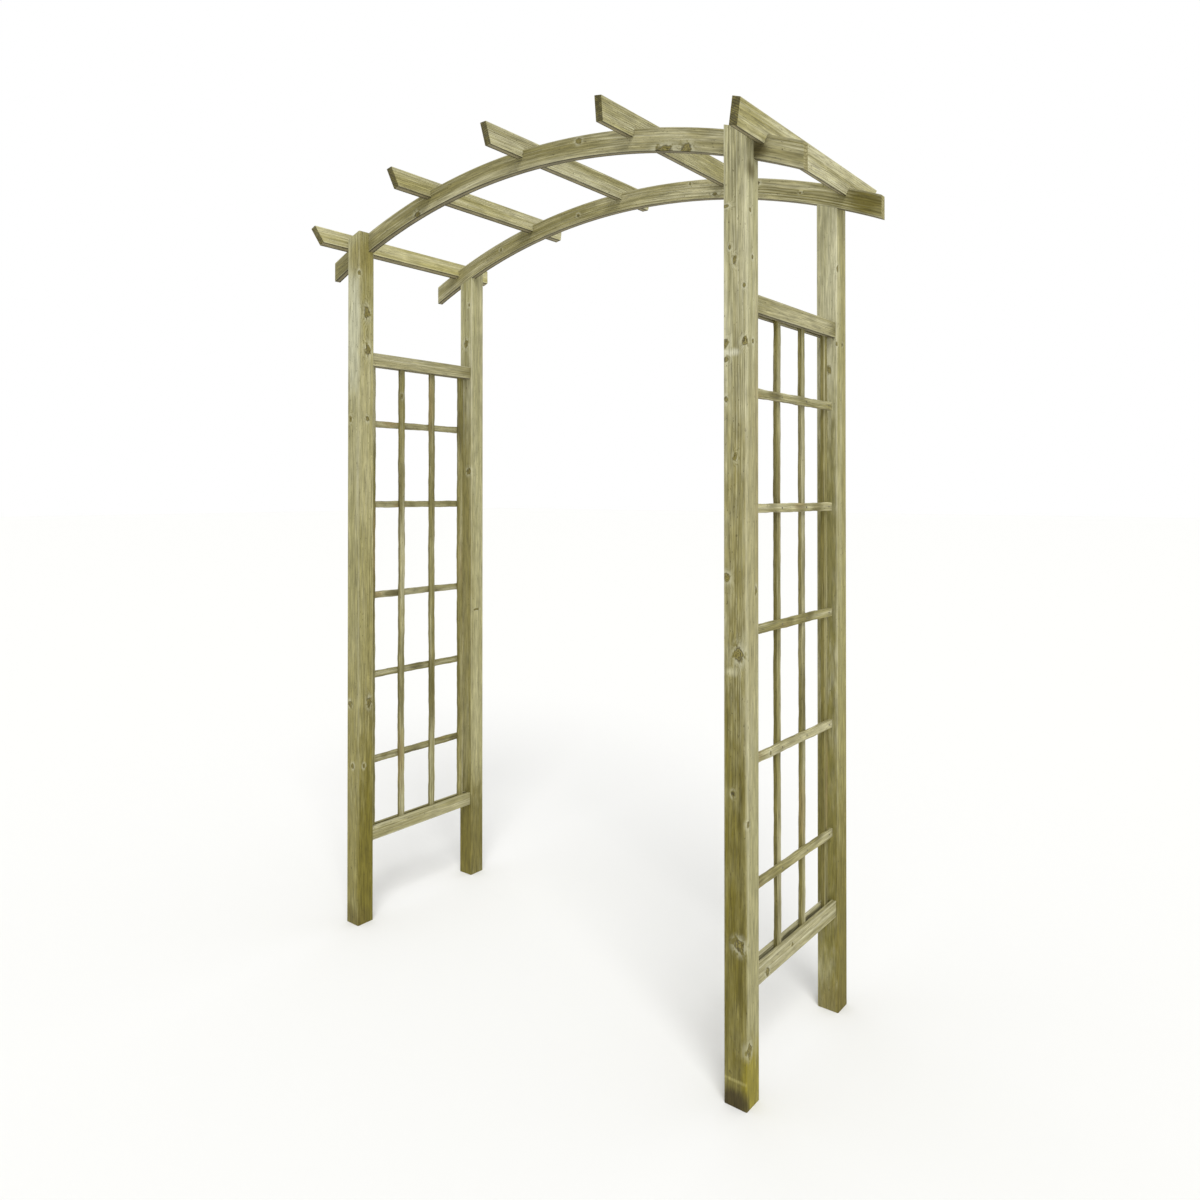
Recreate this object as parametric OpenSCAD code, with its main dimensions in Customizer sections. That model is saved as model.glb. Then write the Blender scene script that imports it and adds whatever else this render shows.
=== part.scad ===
// Timber garden arch: four posts, two curved arch beams, rafters laid across them,
// and a grooved-rail lattice panel on each side.
// +Z is up and +X is across the opening. The origin is on the ground, in the middle.

/* [Posts] */
// Side of the square posts
post_size = 60; // [50:1:90]
// Radius of the eased post corners
post_ease = 3; // [1:0.5:5]

/* [Opening] */
// Clear width between the left and right posts
opening_w = 1380; // [1000:10:1800]
// Clear depth between the front and back posts
opening_d = 446; // [340:1:620]
// Height of the arch's underside at the crown
crown_h = 2340; // [1900:10:2900]

/* [Arch beams] */
// Radius of the arch beams' underside
arch_r = 2122; // [1500:1:3200]
// Depth of an arch beam, measured on the radius
beam_depth = 58; // [45:1:80]
// Thickness of an arch beam, front to back
beam_t = 22; // [18:1:30]
// How far an arch beam runs past the outer face of a post
tail_len = 126; // [80:1:200]

/* [Rafters] */
// Number of rafters
rafter_count = 5; // [3:2:9]
// Height of a rafter, measured on the radius
rafter_h = 58; // [45:1:80]
// Thickness of a rafter
rafter_t = 23; // [18:1:30]
// How deep a rafter is let down over the beams, half cut from each
rafter_lap = 22; // [10:1:30]
// How far a rafter's top edge runs past the face of a post
rafter_overhang = 109; // [60:1:200]
// Angle of a rafter's end cut, back from square
rafter_rake = 19; // [0:1:35]
// Gap between a post's outer face and the outermost rafter
rafter_gap = 6; // [2:1:30]

/* [Panel rails] */
// Width of a rail across the panel
rail_w = 36; // [30:1:48]
// Height of a rail
rail_h = 44; // [36:1:60]
// Radius of the eased rail edges
rail_ease = 2; // [0.5:0.5:4]
// Depth of the groove that holds the upright laths
groove_depth = 14; // [8:1:20]
// Height of the bottom rail's underside above the ground
foot_gap = 261; // [150:1:400]
// Drop from the arch's underside at the posts to the top rail's top
panel_drop = 334; // [150:1:500]
// Distance of the rails' right face behind the posts' right face
rail_setback = 5; // [1:1:12]

/* [Lattice] */
// Width of a lath
lath_w = 22; // [18:1:30]
// Thickness of a lath
lath_t = 10; // [7:1:12]
// Number of level laths in a panel
row_count = 5; // [3:1:7]
// Distance from the bottom rail to the middle of the lowest level lath
first_row_gap = 205; // [120:1:260]
// Distance from the middle of the highest level lath to the top rail
last_row_gap = 185; // [120:1:260]
// Share of the nailed level laths' usual scatter in height, where 0 sets them all at one pitch
row_scatter = 1; // [0:0.1:1.5]
// Number of upright laths in a panel
column_count = 4; // [3:1:6]
// How much shorter the bay beside the front post is than the others
front_trim = 12; // [0:1:30]
// Gap between the last upright lath and the back post
back_gap = 25; // [5:1:40]
// Gap between the level laths' back ends and the back post
row_back_gap = 16; // [4:1:24]

/* [Fixings] */
// Diameter of a screw's shank
screw_d = 5; // [4:0.5:6]
// Diameter of a screw's countersunk head
screw_head_d = 10; // [8:0.5:12]
// Length of the screws that hold a beam to a post
arch_screw_len = 50; // [40:1:55]
// Distance between the two screws at each post
arch_screw_gap = 28; // [20:1:34]
// Length of the screws that hold a rafter to a beam
rafter_screw_len = 80; // [70:1:90]
// Diameter of the dowels between rails and posts
dowel_d = 10; // [8:1:12]
// Length of those dowels
dowel_len = 60; // [40:2:80]
// Diameter of a lath nail
nail_d = 2; // [1.5:0.1:2.8]
// Diameter of a lath nail's head
nail_head_d = 5; // [4:0.5:7]
// Length of a lath nail
nail_len = 18; // [14:1:19]
// Diameter of the pins that hold the uprights in the grooves
pin_d = 2.4; // [2:0.1:3]

/* [Clearances] */
// Sideways clearance of each halving and notch
joint_clear = 0.2; // [0.1:0.1:0.5]
// Clearance on each side of an upright lath in its groove
groove_clear = 0.3; // [0.1:0.1:0.8]
// Clearance above an upright lath in the top groove
groove_top_clear = 0.8; // [0.4:0.1:0.9]
// Gap between the level laths' front ends and the front post
row_front_gap = 0.8; // [0.4:0.1:0.9]
// Clearance round every screw, nail, pin and dowel
bore_clear = 0.1; // [0.05:0.05:0.2]

/* [Hidden] */
SIDES = ["left", "right"];
ENDS = ["front", "back"];
LEVELS = ["bottom", "top"];
// How far each level lath was nailed above its even place, from the bottom up, left panel then right.
ROW_OFFSETS = [[12, 9, -10, 8, -7], [-14, -5, 11, 10, -4]];

post_colour = "#A5A279";
beam_colour = "#A09C70";
rail_colour = "#9C9A6A";
lath_colour = "#A8A57C";
dowel_colour = "#C8B68A";
steel_colour = "#8D8B78";

// Arcs: the large ones stay smooth, the small ones are round holes and pegs.
arc_fn = 180;
hole_fn = 24;
// Cutting shapes run this far past the face that they open.
past = 1;

// Where the posts stand.
post_x = opening_w / 2 + post_size / 2;
post_y = opening_d / 2 + post_size / 2;
post_out_x = opening_w / 2 + post_size;
post_out_y = opening_d / 2 + post_size;

// The arch is one circle, seen from the front.
centre_z = crown_h - arch_r;
arch_top_r = arch_r + beam_depth;
tail_x = post_out_x + tail_len;
// Height of the arch's underside over the inner faces of the posts.
spring_z = centre_z + sqrt(pow(arch_r, 2) - pow(opening_w / 2, 2));

// Rafters stand on the radius. The outermost one clears the post by rafter_gap at its lower corner.
rafter_r0 = arch_top_r - rafter_lap;
rafter_r1 = rafter_r0 + rafter_h;
seat_r = arch_top_r - rafter_lap / 2;
corner_r = sqrt(pow(rafter_r0, 2) + pow(rafter_t / 2, 2));
rafter_last_a = asin((post_out_x + rafter_gap) / corner_r) + atan(rafter_t / 2 / rafter_r0);
rafter_step_a = 2 * rafter_last_a / (rafter_count - 1);
rafter_half_top = post_out_y + rafter_overhang;
rafter_half_foot = rafter_half_top - rafter_h * tan(rafter_rake);

// Heights of the panel, which is the same on both sides.
bottom_rail_z = foot_gap;
top_rail_z = spring_z - panel_drop - rail_h;
field_z0 = bottom_rail_z + rail_h;
field_z1 = top_rail_z;
row_pitch = (field_z1 - field_z0 - first_row_gap - last_row_gap) / (row_count - 1);

// The upright laths: the first stands against the front post, and the rest follow at one pitch.
first_column_y = -opening_d / 2 + lath_w / 2;
last_column_y = opening_d / 2 - back_gap - lath_w / 2;
column_pitch = (last_column_y - first_column_y + front_trim) / (column_count - 1);

function side_sign(s) = s == "left" ? -1 : 1;
function end_sign(e) = e == "front" ? -1 : 1;
function rafter_a(i) = (i - 1) * rafter_step_a - rafter_last_a;
function row_off(s, r) =
    r > len(ROW_OFFSETS[0]) ? 0 : row_scatter * ROW_OFFSETS[s == "left" ? 0 : 1][r - 1];
function row_z(s, r) = field_z0 + first_row_gap + (r - 1) * row_pitch + row_off(s, r);
function column_y(c) =
    first_column_y + (c - 1) * column_pitch - (c > 1 ? front_trim : 0);
function rail_x(s) = side_sign(s) * post_x + post_size / 2 - rail_setback - rail_w / 2;
function row_x(s) = rail_x(s) + side_sign(s) * lath_t;
function rail_z(l) = l == "bottom" ? bottom_rail_z : top_rail_z;
// The dowel sits in the solid half of a rail, away from its groove.
function dowel_z(l) =
    rail_z(l) + (l == "bottom" ? (rail_h - groove_depth) / 2 : (rail_h + groove_depth) / 2);
// The groove pins pass through the middle of the groove's depth.
function pin_z(l) = l == "bottom" ? field_z0 - groove_depth / 2 : field_z1 + groove_depth / 2;

// Outline of a bar whose corners are eased.
module eased_rect(w, h, r) {
    square([w - 2 * r, h], center = true);
    square([w, h - 2 * r], center = true);
    for (x = [-1, 1])
        for (y = [-1, 1])
            translate([x * (w / 2 - r), y * (h / 2 - r)]) circle(r = r, $fn = hole_fn);
}

// A disc whose axis runs front to back through the centre of the arch.
module arch_disc(r, depth) {
    translate([0, 0, centre_z])
        rotate([90, 0, 0]) cylinder(r = r, h = depth, center = true, $fn = arc_fn);
}

// Turns its children to the radius of one rafter: their +Z points out along it.
module on_radius(a) {
    translate([0, 0, centre_z]) rotate([0, a, 0]) children();
}

// A countersunk screw that points down from its head's face at the origin.
module screw(len, grow = 0) {
    head_h = (screw_head_d - screw_d) / 2;
    translate([0, 0, -len - grow]) cylinder(d = screw_d + 2 * grow, h = len + grow, $fn = hole_fn);
    translate([0, 0, -head_h])
        cylinder(d1 = screw_d + 2 * grow, d2 = screw_head_d + 2 * grow, h = head_h, $fn = hole_fn);
}

// A flat-headed nail that points down from its head's face at the origin.
module nail(grow = 0) {
    head_h = 1;
    translate([0, 0, -nail_len - grow])
        cylinder(d = nail_d + 2 * grow, h = nail_len + grow, $fn = hole_fn);
    translate([0, 0, -head_h])
        cylinder(d = nail_head_d + 2 * grow, h = head_h, $fn = hole_fn);
}

// The two screws between one beam and one post, heads on the beam's inner face.
module screws_at_post(s, e, grow = 0) {
    a = asin(post_x / (arch_r + beam_depth / 2)) * side_sign(s);
    for (k = [-1, 1])
        on_radius(a)
            translate([k * arch_screw_gap / 2, end_sign(e) * opening_d / 2, arch_r + beam_depth / 2])
                rotate([end_sign(e) * 90, 0, 0]) screw(arch_screw_len, grow);
}

// The screw down through one rafter into one beam.
module screw_at_rafter(i, e, grow = 0) {
    on_radius(rafter_a(i))
        translate([0, end_sign(e) * (opening_d / 2 + beam_t / 2), rafter_r1])
            screw(rafter_screw_len, grow);
}

// The dowel between one rail end and its post.
module dowel_at(s, e, l, grow = 0) {
    translate([rail_x(s), end_sign(e) * opening_d / 2, dowel_z(l)])
        rotate([90, 0, 0])
            cylinder(d = dowel_d + 2 * grow, h = dowel_len + 2 * grow, center = true, $fn = hole_fn);
}

// The nail through one crossing of the lattice, head on the panel's outer face.
module nail_at(s, c, r, grow = 0) {
    translate([row_x(s) + side_sign(s) * lath_t / 2, column_y(c), row_z(s, r)])
        rotate([0, side_sign(s) * 90, 0]) nail(grow);
}

// The pin through a rail and the end of one upright lath.
module pin_at(s, c, l, grow = 0) {
    translate([rail_x(s), column_y(c), pin_z(l)])
        rotate([0, 90, 0])
            cylinder(d = pin_d + 2 * grow, h = rail_w + 2 * grow, center = true, $fn = hole_fn);
}

// A post: its top follows the arch, and its inner face is notched for the beam.
module post(s, e) {
    color(post_colour)
    difference() {
        intersection() {
            translate([side_sign(s) * post_x, end_sign(e) * post_y, 0])
                linear_extrude(crown_h + beam_depth) eased_rect(post_size, post_size, post_ease);
            arch_disc(arch_top_r, 2 * post_out_y + 2 * past);
        }
        difference() {
            translate([
                side_sign(s) * post_x - post_size / 2 - past,
                end_sign(e) * (opening_d / 2 + beam_t / 2 - past / 2) - (beam_t + past) / 2,
                0
            ])
                cube([post_size + 2 * past, beam_t + past, crown_h + beam_depth + past]);
            arch_disc(arch_r - joint_clear, 2 * post_out_y + 4 * past);
        }
        screws_at_post(s, e, bore_clear);
        for (l = LEVELS) dowel_at(s, e, l, bore_clear);
    }
}

// An arch beam: a ring segment with plumb-cut tails, slotted for the rafters.
module arch_beam(e) {
    mid_y = end_sign(e) * (opening_d / 2 + beam_t / 2);
    color(beam_colour)
    difference() {
        intersection() {
            translate([0, mid_y, 0]) arch_disc(arch_top_r, beam_t);
            translate([-tail_x, mid_y - beam_t, max(0, centre_z)])
                cube([2 * tail_x, 2 * beam_t, crown_h + beam_depth]);
        }
        arch_disc(arch_r, 2 * post_out_y);
        for (i = [1:rafter_count]) {
            on_radius(rafter_a(i))
                translate([-rafter_t / 2 - joint_clear, mid_y - beam_t, seat_r])
                    cube([rafter_t + 2 * joint_clear, 2 * beam_t, rafter_h]);
            screw_at_rafter(i, e, bore_clear);
        }
        for (s = SIDES) screws_at_post(s, e, bore_clear);
    }
}

// A rafter: a board on edge with raked ends, halved over both beams.
module rafter(i) {
    color(beam_colour)
    difference() {
        on_radius(rafter_a(i))
            rotate([90, 0, 90])
                linear_extrude(rafter_t, center = true)
                    polygon([
                        [-rafter_half_top, rafter_r1], [-rafter_half_foot, rafter_r0],
                        [rafter_half_foot, rafter_r0], [rafter_half_top, rafter_r1]
                    ]);
        for (e = ENDS) {
            on_radius(rafter_a(i))
                translate([
                    -rafter_t,
                    end_sign(e) * (opening_d / 2 + beam_t / 2) - beam_t / 2 - joint_clear,
                    rafter_r0 - rafter_h
                ])
                    cube([2 * rafter_t, beam_t + 2 * joint_clear, rafter_h + seat_r - rafter_r0]);
            screw_at_rafter(i, e, bore_clear);
        }
    }
}

// A rail between two posts, with a groove that faces the lattice.
module rail(s, l) {
    groove_w = lath_t + 2 * groove_clear;
    groove_z = l == "bottom" ? field_z0 - groove_depth : field_z1 - past;
    color(rail_colour)
    difference() {
        translate([rail_x(s), opening_d / 2, rail_z(l) + rail_h / 2])
            rotate([90, 0, 0]) linear_extrude(opening_d) eased_rect(rail_w, rail_h, rail_ease);
        translate([rail_x(s) - groove_w / 2, -opening_d / 2 - past, groove_z])
            cube([groove_w, opening_d + 2 * past, groove_depth + past]);
        for (e = ENDS) dowel_at(s, e, l, bore_clear);
        for (c = [1:column_count]) pin_at(s, c, l, bore_clear);
    }
}

// An upright lath, standing in the bottom groove and reaching into the top one.
module upright_lath(s, c) {
    z0 = field_z0 - groove_depth;
    color(lath_colour)
    difference() {
        translate([rail_x(s) - lath_t / 2, column_y(c) - lath_w / 2, z0])
            cube([lath_t, lath_w, field_z1 + groove_depth - groove_top_clear - z0]);
        for (r = [1:row_count]) nail_at(s, c, r, bore_clear);
        for (l = LEVELS) pin_at(s, c, l, bore_clear);
    }
}

// A level lath, nailed across the outer side of the uprights.
module level_lath(s, r) {
    y0 = -opening_d / 2 + row_front_gap;
    color(lath_colour)
    difference() {
        translate([row_x(s) - lath_t / 2, y0, row_z(s, r) - lath_w / 2])
            cube([lath_t, opening_d / 2 - row_back_gap - y0, lath_w]);
        for (c = [1:column_count]) nail_at(s, c, r, bore_clear);
    }
}

module arch_screws() {
    color(steel_colour)
        for (s = SIDES)
            for (e = ENDS) screws_at_post(s, e);
}

module rafter_screws() {
    color(steel_colour)
        for (i = [1:rafter_count])
            for (e = ENDS) screw_at_rafter(i, e);
}

module rail_dowels() {
    color(dowel_colour)
        for (s = SIDES)
            for (e = ENDS)
                for (l = LEVELS) dowel_at(s, e, l);
}

module lath_nails(s) {
    color(steel_colour)
        for (c = [1:column_count])
            for (r = [1:row_count]) nail_at(s, c, r);
}

module groove_pins(s) {
    color(steel_colour)
        for (c = [1:column_count])
            for (l = LEVELS) pin_at(s, c, l);
}

for (e = ENDS)
    for (s = SIDES)
        post(s, e);
for (e = ENDS)
    arch_beam(e);
for (i = [1:rafter_count])
    rafter(i);
for (s = SIDES)
    for (l = LEVELS)
        rail(s, l);
for (s = SIDES)
    for (c = [1:column_count])
        upright_lath(s, c);
for (s = SIDES)
    for (r = [1:row_count])
        level_lath(s, r);
arch_screws();
rafter_screws();
rail_dowels();
for (s = SIDES)
    lath_nails(s);
for (s = SIDES)
    groove_pins(s);
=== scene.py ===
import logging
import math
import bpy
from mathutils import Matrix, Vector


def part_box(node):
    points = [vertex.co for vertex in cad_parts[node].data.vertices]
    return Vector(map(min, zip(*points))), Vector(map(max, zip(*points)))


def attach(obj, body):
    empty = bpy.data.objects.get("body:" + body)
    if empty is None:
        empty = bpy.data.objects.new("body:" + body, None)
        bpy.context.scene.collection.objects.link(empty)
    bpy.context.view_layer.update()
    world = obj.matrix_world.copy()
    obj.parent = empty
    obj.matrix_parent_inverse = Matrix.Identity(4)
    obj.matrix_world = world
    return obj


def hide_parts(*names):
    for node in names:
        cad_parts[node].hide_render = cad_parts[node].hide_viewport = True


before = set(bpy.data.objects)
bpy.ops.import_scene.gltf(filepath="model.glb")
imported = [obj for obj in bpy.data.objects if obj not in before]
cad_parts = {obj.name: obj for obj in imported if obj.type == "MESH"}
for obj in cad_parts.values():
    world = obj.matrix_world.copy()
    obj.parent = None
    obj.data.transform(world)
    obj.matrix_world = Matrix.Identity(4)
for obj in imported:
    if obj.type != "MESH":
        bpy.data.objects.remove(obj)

# The looks of a garden arch in green pressure-treated pine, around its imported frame.
# Posts, rails and hidden fixings keep their frame nodes and get a finish. The curved beams, the
# rafters, the sawn laths and the visible fixings are new surfaces that replace theirs.

import zlib
from collections.abc import Callable, Iterable
from dataclasses import dataclass
from enum import Enum

import bpy
import numpy as np
from mathutils import Matrix, Vector

LOG = logging.getLogger("garden_arch")
MM = 0.001
Socket = bpy.types.NodeSocket
Array = np.ndarray


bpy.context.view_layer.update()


class Side(Enum):
    """The two sides of the passage, with the sign of X on each."""

    LEFT = -1
    RIGHT = 1

    @property
    def word(self) -> str:
        """Returns the side's name as it stands in node names."""
        return self.name.lower()


class End(Enum):
    """The two ends of the passage, with the sign of Y at each."""

    FRONT = -1
    BACK = 1

    @property
    def word(self) -> str:
        """Returns the end's name as it stands in node names."""
        return self.name.lower()


class Lay(Enum):
    """How a board lies: the turn that brings its grain from +Z to where it runs."""

    UPRIGHT = (0.0, 0.0, 0.0)
    LEVEL = (-math.pi / 2, 0.0, 0.0)


class Pattern(Enum):
    """The patterns in the wood: cycles in a metre across and along the grain, and their detail.

    Each comes from a real size, which stands beside it in millimetres, across by along.
    """

    PATCH = (14, 1.7, 3)  # broad patches of salts, 70 by 600
    STREAK = (62, 0.8, 2)  # wet and dry streaks, 16 by 1250
    LATE_WOOD = (26, 1.6, 1)  # where the year lines show most, 40 by 600
    SWAY = (9, 1.7, 2)  # slow bends of the year lines, 110 by 600
    JITTER = (80, 6, 2)  # quick bends of the year lines, 12 by 170
    FIBRE = (240, 3.0, 3)  # real fibres are 0.3 across; drawn at 4 by 330 so that they show
    FINE = (700, 30, 2)  # raised fibres, 1.4 by 33
    MOTTLE = (120, 18, 3)  # 8 by 55
    GRIT = (340, 16, 3)  # 3 by 60
    FLECK = (230, 95, 2)  # resin flecks and cracks in knots, 4 by 10
    WOBBLE = (95, 70, 2)  # unevenness of a knot's rim, 11 by 14
    RAGGED = (60, 14, 3)  # edges of stains and of patches of painted shade, 17 by 70
    RUB = (150, 20, 2)  # ragged edges of the painted arris highlight and shadow line, 7 by 50
    DIRT = (90, 90, 2)  # patches on the cut ends, 11
    SHOULDER = (7, 1.6, 2)  # unevenness of a post's green foot, 140 by 600


def linear(colour: str) -> tuple[float, float, float, float]:
    """Turns an sRGB hex colour into the linear values that a shader takes.

    Args:
        colour: six hex digits after a hash sign.

    Returns:
        Linear red, green, blue and an alpha of 1.
    """
    parts = [int(colour[k:k + 2], 16) / 255 for k in (1, 3, 5)]
    red, green, blue = (v / 12.92 if v <= 0.04045 else ((v + 0.055) / 1.055) ** 2.4 for v in parts)
    return red, green, blue, 1.0


def seed_of(name: str) -> int:
    """Returns a whole number that is always the same for one name."""
    return zlib.crc32(name.encode())


# ---------------------------------------------------------------- surfaces


def mesh_object(name: str, points: Array, faces: Iterable[Iterable[int]]) -> bpy.types.Object:
    """Makes one smooth-shaded mesh object, linked to the scene.

    Args:
        name: the object's name.
        points: an (n, 3) array of places in metres.
        faces: point numbers of each face, counted anticlockwise from outside.

    Returns:
        The new object, at the origin.
    """
    mesh = bpy.data.meshes.new(name)
    mesh.from_pydata(points.tolist(), [], [list(face) for face in faces])
    mesh.polygons.foreach_set("use_smooth", np.ones(len(mesh.polygons), dtype=bool))
    mesh.update()
    piece = bpy.data.objects.new(name, mesh)
    bpy.context.scene.collection.objects.link(piece)
    return piece


def ring_faces(rows: int, around: int, first: int = 0) -> Array:
    """Joins rows of a closed ring into quads: each takes a point, the next one round, and the two after.

    Args:
        rows: number of rings.
        around: number of points in a ring.
        first: number of the first point.

    Returns:
        An array of quads whose fronts face outwards when the rings run anticlockwise.
    """
    row, col = np.meshgrid(np.arange(rows - 1), np.arange(around), indexing="ij")
    after = (col + 1) % around
    quads = np.stack([row * around + col, row * around + after,
                      (row + 1) * around + after, (row + 1) * around + col], axis=-1)
    return quads.reshape(-1, 4) + first


def wander(along: Array, rng: np.random.Generator, size: float, waves: Iterable[float]) -> Array:
    """A smooth random line: a sum of sines, each weaker in step with its own wavelength.

    Args:
        along: distances along the line, in metres.
        rng: source of the phases.
        size: largest reach of the whole sum, in metres.
        waves: wavelengths in metres.

    Returns:
        One offset for each distance.
    """
    waves = np.array(list(waves))
    weight = np.sqrt(waves / waves.max())
    phase = rng.uniform(0, 2 * np.pi, len(waves))
    total = np.sin(2 * np.pi * along[:, None] / waves + phase) * weight
    return size * total.sum(axis=1) / weight.sum()


@dataclass
class SawnBar:
    """A straight bar whose edges wander as a saw leaves them.

    Attributes:
        low, high: the bar's corners in metres, as the frame has them.
        axis: 1 where it runs along Y, 2 where it runs along Z.
        wave: how far its edges wander, in metres.
        mated: the face across X that stays flat, -1 or +1.
        quiet: how near an end the wander has died out, in metres.
        ease: radius of its arrises.
        step: distance between its rings.
    """

    low: Vector
    high: Vector
    axis: int
    wave: float
    mated: int
    quiet: float
    ease: float = 0.9 * MM
    step: float = 9 * MM

    # Wavelengths in metres, of the free face, of the bow that both edges share, and of each edge.
    FACE_WAVES = (0.31, 0.12, 0.05)
    BOW_WAVES = (1.7, 0.8)
    EDGE_WAVES = (0.23, 0.11, 0.061, 0.034)

    def rings(self, rng: np.random.Generator) -> Array:
        """Carries an eased rectangle along the bar: each corner's centre follows its own two edges.

        Args:
            rng: source of the wander.

        Returns:
            An array of rings, (stations, points, 3), in metres.
        """
        start, stop = self.low[self.axis], self.high[self.axis]
        count = max(8, int((stop - start) / self.step))
        inner = np.linspace(start + self.ease, stop - self.ease, count)
        along = np.concatenate([[start], inner, [stop]])
        fade = np.clip(np.minimum(along - start, stop - along) / self.quiet, 0, 1)
        fade = fade * fade * (3 - 2 * fade)
        across = 3 - self.axis
        worn = np.abs(wander(along, rng, 0.35 * self.wave, self.FACE_WAVES)) * fade
        flat = np.zeros(len(along))
        thin_low = self.low[0] + (worn if self.mated > 0 else flat)
        thin_high = self.high[0] - (worn if self.mated < 0 else flat)
        bow = wander(along, rng, 0.6 * self.wave, self.BOW_WAVES) * fade
        # U runs along +X. V runs along +Y on an upright bar and along -Z on a level one.
        v_sign = 1 if self.axis == 2 else -1
        wide = [(edge + bow + wander(along, rng, 0.75 * self.wave, self.EDGE_WAVES) * fade) * v_sign
                for edge in (self.low[across], self.high[across])]
        v_low, v_high = wide[::v_sign]
        shrink = np.zeros(len(along))
        shrink[[0, -1]] = self.ease
        turn = np.concatenate([np.linspace(0, np.pi / 2, 3) + k * np.pi / 2 for k in range(4)])
        right = np.repeat([True, False, False, True], 3)
        upper = np.repeat([True, True, False, False], 3)
        inset = self.ease + shrink
        u = np.where(right, (thin_high - inset)[:, None], (thin_low + inset)[:, None])
        v = np.where(upper, (v_high - inset)[:, None], (v_low + inset)[:, None])
        rings = np.empty((len(along), len(turn), 3))
        rings[:, :, 0] = u + self.ease * np.cos(turn)
        rings[:, :, across] = (v + self.ease * np.sin(turn)) * v_sign
        rings[:, :, self.axis] = along[:, None]
        return rings

    def build(self, name: str) -> bpy.types.Object:
        """Makes the bar as one closed mesh.

        Args:
            name: the new object's name.

        Returns:
            The object.
        """
        rings = self.rings(np.random.default_rng(seed_of(name)))
        rows, around, _ = rings.shape
        faces = ring_faces(rows, around).tolist()
        faces.append(list(range(around - 1, -1, -1)))
        faces.append(list(range((rows - 1) * around, rows * around)))
        return mesh_object(name, rings.reshape(-1, 3), faces)


@dataclass
class CutBoard:
    """A flat board given as cells, some of them cut away, with eased arrises.

    Attributes:
        stations: places of the cell edges along the board.
        levels: places of the cell edges across its face.
        kept: a (stations - 1, levels - 1) table, True where there is wood.
        place: turns arrays of station, level and side (0 or 1) into places in metres.
        ease: width of its eased arrises.
    """

    stations: Array
    levels: Array
    kept: Array
    place: Callable[[Array, Array, Array], Array]
    ease: float = 1.3 * MM

    def quads(self) -> Array:
        """Lists the board's skin: both faces of each kept cell, and a wall wherever its neighbour is gone.

        Returns:
            Quads of point numbers on the (stations, levels, 2) grid, facing outwards.
        """
        number = np.arange(len(self.stations) * len(self.levels) * 2).reshape(
            len(self.stations), len(self.levels), 2)
        edge = np.pad(self.kept, 1)
        core = edge[1:-1, 1:-1]
        plans = (
            (core, ((0, 0, 0), (0, 1, 0), (1, 1, 0), (1, 0, 0))),
            (core, ((0, 0, 1), (1, 0, 1), (1, 1, 1), (0, 1, 1))),
            (core & ~edge[:-2, 1:-1], ((0, 0, 0), (0, 0, 1), (0, 1, 1), (0, 1, 0))),
            (core & ~edge[2:, 1:-1], ((1, 0, 0), (1, 1, 0), (1, 1, 1), (1, 0, 1))),
            (core & ~edge[1:-1, :-2], ((0, 0, 0), (1, 0, 0), (1, 0, 1), (0, 0, 1))),
            (core & ~edge[1:-1, 2:], ((0, 1, 0), (0, 1, 1), (1, 1, 1), (1, 1, 0))),
        )
        faces = []
        for where, offsets in plans:
            i, j = np.nonzero(where)
            faces.append(np.stack([number[i + a, j + b, c] for a, b, c in offsets], axis=1))
        return np.concatenate(faces)

    def build(self, name: str) -> bpy.types.Object:
        """Makes the board as one closed mesh and eases its arrises.

        Args:
            name: the new object's name.

        Returns:
            The object.
        """
        station, level, side = np.meshgrid(self.stations, self.levels, np.array([0.0, 1.0]), indexing="ij")
        points = self.place(station, level, side).reshape(-1, 3)
        used, faces = np.unique(self.quads(), return_inverse=True)
        piece = mesh_object(name, points[used], faces.reshape(-1, 4).tolist())
        bevel = piece.modifiers.new("eased arrises", "BEVEL")
        bevel.width = self.ease
        bevel.segments = 2
        bevel.limit_method = "ANGLE"
        bevel.angle_limit = math.radians(40)
        bevel.harden_normals = True
        return piece


def turned_copies(name: str, profile: Array, spots: list[tuple[Vector, Vector]],
                  around: int) -> bpy.types.Object:
    """Turns one profile about its axis, and stands a copy at each spot.

    A point is its radius times the sine and cosine of the turn, and its height along the axis. A fan
    of triangles closes each end.

    Args:
        name: the new object's name.
        profile: (m, 2) radius and height in metres, from the foot's middle to the head's middle.
        spots: for each copy, where the height is nought and which way the height runs.
        around: number of points round each ring.

    Returns:
        One object that holds all the copies.
    """
    turn = np.arange(around) * 2 * np.pi / around
    body = profile[1:-1]
    rings = np.stack([body[:, :1] * np.cos(turn), body[:, :1] * np.sin(turn),
                      np.repeat(body[:, 1:], around, axis=1)], axis=-1).reshape(-1, 3)
    ends = np.array([[0, 0, profile[0, 1]], [0, 0, profile[-1, 1]]])
    local = np.concatenate([rings, ends])
    foot, head = len(rings), len(rings) + 1
    number = np.arange(around)
    after = (number + 1) % around
    last = foot - around
    skins = (ring_faces(len(body), around),
             np.stack([np.full(around, foot), after, number], axis=1),
             np.stack([np.full(around, head), last + number, last + after], axis=1))
    points, faces = [], []
    for copy, (spot, way) in enumerate(spots):
        stand = np.array(way.to_track_quat("Z", "Y").to_matrix())
        points.append(local @ stand.T + np.array(spot))
        for skin in skins:
            faces += (skin + copy * len(local)).tolist()
    return mesh_object(name, np.concatenate(points), faces)


# ---------------------------------------------------------------- finishes


@dataclass(frozen=True)
class Knot:
    """A branch that shows on a board's face.

    Attributes:
        spot: its middle in metres, in the frame.
        size: half-axes in metres, along X, Y and Z.
    """

    spot: tuple[float, float, float]
    size: tuple[float, float, float]


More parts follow.
